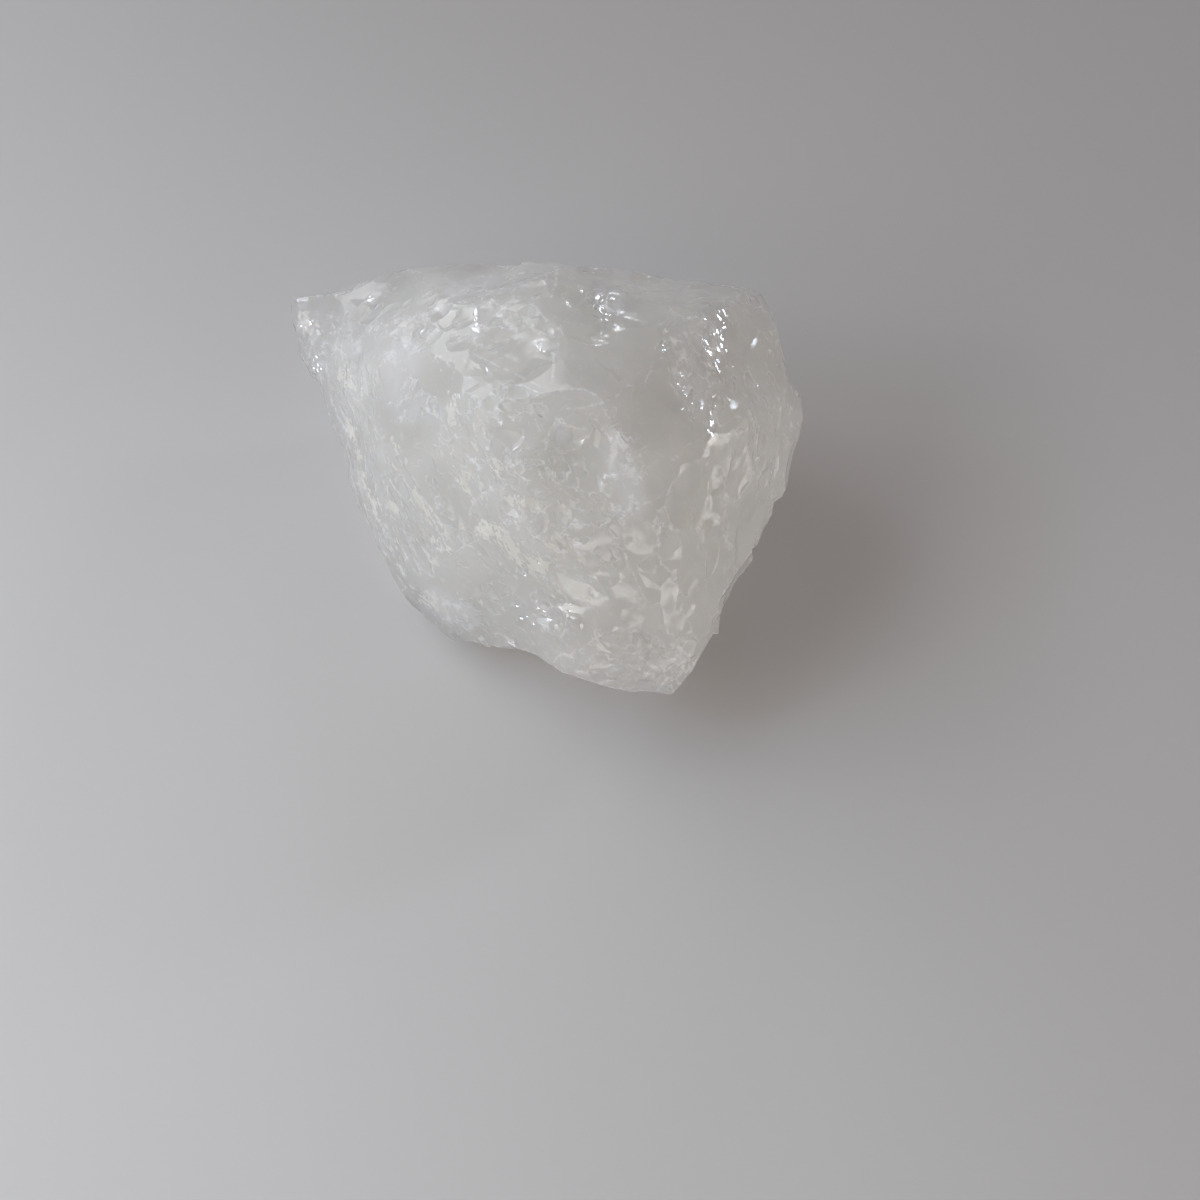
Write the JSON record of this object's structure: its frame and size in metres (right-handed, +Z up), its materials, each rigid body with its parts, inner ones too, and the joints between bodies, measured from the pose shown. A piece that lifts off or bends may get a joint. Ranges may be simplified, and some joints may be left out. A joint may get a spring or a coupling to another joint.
{
  "type": "rough quartz stone",
  "caption": "Rough broken chunk of clear quartz with a pointed left tip, crisp fracture ridges, shallow shell-shaped scars and a ledge on the right, lying on a flat face.",
  "frame": {"origin": "on the surface that the stone lies on, under the middle of its bounding box", "axes": "+Z up; +X along the stone's long side, from the pointed tip towards the ledge; +Y from the low front to the steep back"},
  "size_m": [0.0782, 0.0646, 0.0441],
  "materials": {
    "clear_quartz": "clear to milky quartz, glossy on fresh fracture faces, with white healed cracks inside"
  },
  "bodies": {
    "root": {"quartz": "clear_quartz"}
  },
  "joints": []
}
